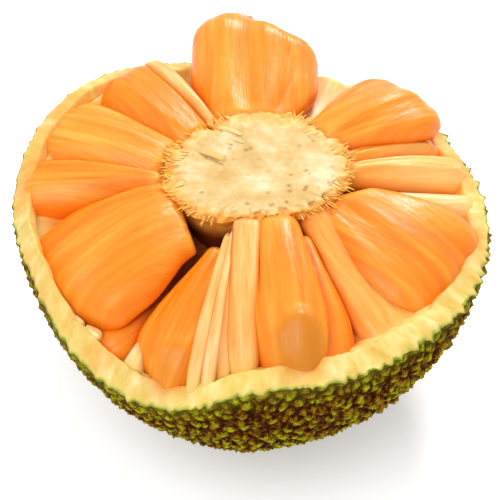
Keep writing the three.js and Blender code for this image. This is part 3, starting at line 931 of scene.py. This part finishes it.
def rag_material():
    """Moist rag: yellow-orange to cream fibres, with painted shade in orange where they touch the bulbs and
    other pieces.
    """
    g = Graph("rag_fibre")
    streaks = g.noise((4, 0.35, 1), 3, 0.6)
    deep = g.ramp(streaks, [(0.3, "#f6922a"), (0.5, "#f99f38"), (0.7, "#fbb04c")])
    light = g.ramp(streaks, [(0.3, "#e9b264"), (0.5, "#f4cb84"), (0.7, "#fbe4b2")])
    colour = g.mix(g.value("pale"), deep, light)
    colour = g.mix(g.between(g.value("share"), 0.82, 0.97, 0, 0.8), colour, linear("#efcb72"))
    # Painted shade: darker orange where a strand lies against or inside another piece.
    colour = g.mix(g.between(g.value("contact_shade"), 0.25, 1, 0, 0.8), colour, linear("#d87414"))
    fibres = g.noise((10, 0.6, 1), 3, 0.6)
    g.bump(fibres, 0.0005, 0.5)
    return g.finish(colour, 0.42, Subsurface_Weight=0.2, Subsurface_Radius=(1.0, 0.6, 0.25),
                    Subsurface_Scale=0.003, Specular_IOR_Level=0.3, Coat_Weight=0.1, Coat_Roughness=0.2)


def bed_material():
    """Rag under the bulbs: painted shade in dark brown-orange beside the core, pale like the rind's cut face
    at the rim.
    """
    g = Graph("rag_bed_fibre")
    streaks = g.noise((5, 1.2, 1), 3, 0.6)
    colour = g.ramp(streaks, [(0.3, "#dd9c48"), (0.5, "#e9b566"), (0.7, "#f3d08e")])
    colour = g.mix(g.between(g.value("near"), 0.2, 0.9, 0, 0.8), colour, linear("#ee8a24"))
    # Painted shade: dark brown-orange on the inner part of the bed, down beside the core.
    colour = g.mix(g.between(g.value("out"), 0.45, 0.85, 0.9, 0), colour, linear("#a8480e"))
    colour = g.mix(g.between(g.value("out"), 0.9, 0.97, 0, 0.75), colour, linear("#e9c46e"))
    g.bump(streaks, 0.001, 0.5)
    return g.finish(colour, 0.5, Subsurface_Weight=0.15, Subsurface_Radius=(1.0, 0.6, 0.25),
                    Subsurface_Scale=0.003, Specular_IOR_Level=0.3)


def core_material():
    """Cream spongy core with a few olive-brown dots, more yellow at its collar, and painted shade in dark
    brown below it.
    """
    g = Graph("core_pith")
    cloud = g.noise((0.7, 0.7, 0.7), 4, 0.6)
    colour = g.ramp(cloud, [(0.3, "#cca258"), (0.5, "#dab97a"), (0.7, "#e5d3a6")])
    few = g.between(g.noise((0.45, 0.45, 0.45)), 0.47, 0.6)
    dots = g.between(g.cells((1.7, 1.7, 1.7)), 0.14, 0.28, 0.9, 0)
    colour = g.mix(g.maths("MULTIPLY", dots, few), colour, linear("#ab8234"))
    mottle = g.noise((2, 2, 2), 3, 0.6)
    cream = g.ramp(mottle, [(0.3, "#dcae60"), (0.5, "#e6c585"), (0.7, "#efdaa8")])
    yellow = g.ramp(mottle, [(0.3, "#ee9a2c"), (0.5, "#f4ae44"), (0.7, "#f7c668")])
    collar = g.mix(g.between(g.value("ring"), 0.05, 0.75), cream, yellow)
    colour = g.mix(g.value("disc"), collar, colour)
    # Painted shade: dark brown on the core's side below its collar.
    colour = g.mix(g.value("low"), colour, linear("#7c3408"))
    g.bump(g.noise((5, 5, 5), 4, 0.65), 0.0006, 0.5)
    return g.finish(colour, 0.55, Subsurface_Weight=0.15, Subsurface_Radius=(1.0, 0.8, 0.45),
                    Subsurface_Scale=0.003, Specular_IOR_Level=0.3)


def frill_material():
    """Torn flaps: cream at the disc, and yellow to orange at the tips."""
    g = Graph("core_frill")
    cream = g.mix(g.value("tone"), linear("#e0b870"), linear("#ecd093"))
    yellow = g.mix(g.value("tone"), linear("#f4a22c"), linear("#f7c658"))
    colour = g.mix(g.between(g.value("share"), 0.25, 0.9), cream, yellow)
    g.bump(g.noise((6, 6, 6), 3, 0.6), 0.0005, 0.4)
    return g.finish(colour, 0.48, Subsurface_Weight=0.2, Subsurface_Radius=(1.0, 0.7, 0.3),
                    Subsurface_Scale=0.002, Specular_IOR_Level=0.3)


def pith_material():
    """The rind's cut edge: mottled pale yellow, a thin green line at the skin, orange beside the bulbs."""
    g = Graph("rind_pith")
    wobble = g.noise((2.2, 2.2, 1), 2, 0.5)
    mottle = g.noise((1.3, 0.6, 0.6), 4, 0.6)
    flesh = g.ramp(mottle, [(0.28, "#d9ac4c"), (0.5, "#e6c76a"), (0.72, "#f0de9c")])
    place = g.maths("ADD", g.value("rim"), g.between(wobble, 0.3, 0.7, -0.04, 0.04))
    edge = g.ramp(place, [(0.0, "#76841a"), (0.045, "#acaa3a"), (0.12, "#dccb62")])
    colour = g.mix(g.between(place, 0.04, 0.16), edge, flesh)
    colour = g.mix(g.between(g.value("near"), 0.2, 0.95, 0, 0.8), colour, linear("#f3983a"))
    g.bump(g.noise((4, 1.6, 2), 4, 0.6), 0.0008, 0.5)
    return g.finish(colour, 0.5, Subsurface_Weight=0.2, Subsurface_Radius=(1.0, 0.75, 0.35),
                    Subsurface_Scale=0.003, Specular_IOR_Level=0.3)


def skin_material():
    """Spiked skin: olive and yellow-green spikes, and dark maroon valleys that are partly the skin's own
    colour and partly painted shade.
    """
    g = Graph("rind_skin")
    patches = g.noise((0.8, 0.8, 0.8), 3, 0.6)
    speckle = g.noise((4, 4, 4), 4, 0.7)
    height = g.maths("ADD", g.value("spike"), g.between(speckle, 0.3, 0.7, -0.45, 0.45))
    # Dark in the valleys between the spikes and bright towards their tips: partly the skin's own colour,
    # partly painted shade.
    green = g.ramp(height, [(0.02, "#300e02"), (0.2, "#5a2e06"), (0.4, "#766a08"), (0.6, "#92980c"),
                            (0.85, "#b2b41e"), (1.0, "#966c12")])
    brown = g.ramp(height, [(0.02, "#260a02"), (0.28, "#562806"), (0.5, "#805a0c"), (0.8, "#a08418"),
                            (1.0, "#764a10")])
    lot = g.maths("ADD", g.between(g.value("tone"), 0, 1, -0.3, 0.3), patches)
    colour = g.mix(g.between(lot, 0.38, 0.68), green, brown)
    colour = g.mix(g.between(g.value("edge"), 0, 1, 0, 0.55), colour, linear("#9aa02a"))
    grit = g.maths("MULTIPLY", g.noise((2, 2, 2)), 0.8)
    g.bump(g.maths("ADD", speckle, grit), 0.0009, 0.7)
    return g.finish(colour, 0.7, Specular_IOR_Level=0.02)


# Floor, lights and camera

def floor():
    bpy.ops.mesh.primitive_plane_add(size=FLOOR_SIZE)
    plane = bpy.context.object
    plane.name = "floor"
    g = Graph("pale_floor")
    pale = g.finish(linear("#f7f7f7"), 0.8, Emission_Color=(1, 1, 1, 1), Emission_Strength=FLOOR_GLOW)
    plane.data.materials.append(pale)


def area_light(name, place, size, power):
    light = bpy.data.lights.new(name, "AREA")
    light.shape = "DISK"
    light.size = size
    light.energy = power
    lamp = bpy.data.objects.new(name, light)
    lamp.location = place
    lamp.rotation_euler = (Vector(LIGHT_AIM) - lamp.location).to_track_quat("-Z", "Y").to_euler()
    bpy.context.scene.collection.objects.link(lamp)


def studio():
    world = bpy.data.worlds.new("studio")
    world.use_nodes = True
    sky = world.node_tree.nodes["Background"]
    sky.inputs["Color"].default_value = (1, 1, 1, 1)
    sky.inputs["Strength"].default_value = WORLD_STRENGTH
    bpy.context.scene.world = world
    for light in LIGHTS:
        area_light(*light)
    bpy.context.scene.view_settings.view_transform = "Standard"


def camera():
    lens = bpy.data.cameras.new("camera")
    lens.lens = VIEW["lens"]
    lens.sensor_width = VIEW["sensor"]
    lens.clip_start, lens.clip_end = 0.01, 20
    eye = bpy.data.objects.new("camera", lens)
    tilt = math.radians(VIEW["elevation"])
    target = Vector(VIEW["target"]) * MM
    eye.location = target + Vector((0, -math.cos(tilt), math.sin(tilt))) * VIEW["distance"] * MM
    eye.rotation_euler = (target - eye.location).to_track_quat("-Z", "Y").to_euler()
    bpy.context.scene.collection.objects.link(eye)
    bpy.context.scene.camera = eye


# The half fruit

def half_fruit():
    core = core_shape(*CORE_GRID)
    solids = [tree_and_box(core)]
    bulbs = [bulb_shape(row, order, *BULB_GRID) for order, row in enumerate(BULBS)]
    strands = [bulb_shape(row, order, *STRAND_GRID) for order, row in enumerate(STRANDS, FIRST_STRAND)]
    extras = [bulb_shape(row, order, *STRAND_GRID) for order, row in enumerate(EXTRA_RAG, FIRST_EXTRA)]
    creased_together(bulbs + strands + extras, solids)
    rind = rind_shape()
    bed = bed_shape(*BED_GRID)
    nearness_to(rind, bulbs, RIND_TINT_REACH)
    nearness_to(bed, bulbs, BED_TINT_REACH)
    sink_below(bed, solids[1:])

    flesh, rag = flesh_material(), rag_material()
    for shape in bulbs:
        make_piece(shape["name"] + "_flesh", shape, [flesh], shape["name"])
    for shape in strands:
        make_piece(shape["name"] + "_strand", shape, [rag], shape["name"])
    for shape in extras:
        make_piece(shape["name"], shape, [rag])
    make_piece("core_frill", frill_shape(), [frill_material()])
    make_piece("core_pith", core, [core_material()], "core")
    make_piece("rag_bed_fibre", bed, [bed_material()], "rag_bed")
    skin = make_piece("rind_skin", rind, [skin_material(), pith_material()], "rind")
    skin.data.polygons.foreach_set("material_index", rind_materials(len(rind["faces"])))


camera()
studio()
floor()
half_fruit()
